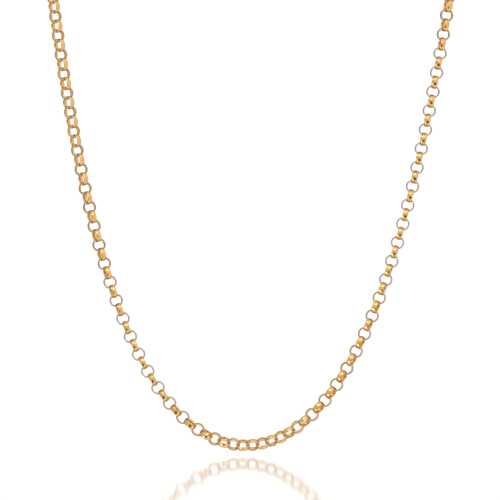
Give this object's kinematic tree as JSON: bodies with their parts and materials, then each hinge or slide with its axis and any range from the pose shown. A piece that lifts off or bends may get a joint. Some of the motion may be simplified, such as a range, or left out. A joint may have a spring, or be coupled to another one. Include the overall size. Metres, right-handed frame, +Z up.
{
  "type": "rolo chain necklace",
  "caption": "Gold rolo neck chain of equal round band links, each square to the next, hanging in a closed loop with a plain ring clasp at the nape.",
  "frame": {"origin": "middle of the clasp, where the chain lies against the nape", "axes": "+X across the neck to the wearer's left, +Y from the front of the neck to the back, +Z up"},
  "size_m": [0.1143, 0.0672, 0.1637],
  "materials": {
    "chain_gold": "polished yellow gold",
    "clasp_gold": "polished yellow gold, softly brushed at the tube's mouth"
  },
  "bodies": {
    "root": {"chain_front": "chain_gold", "chain_back": "chain_gold", "clasp": "clasp_gold"}
  },
  "joints": []
}
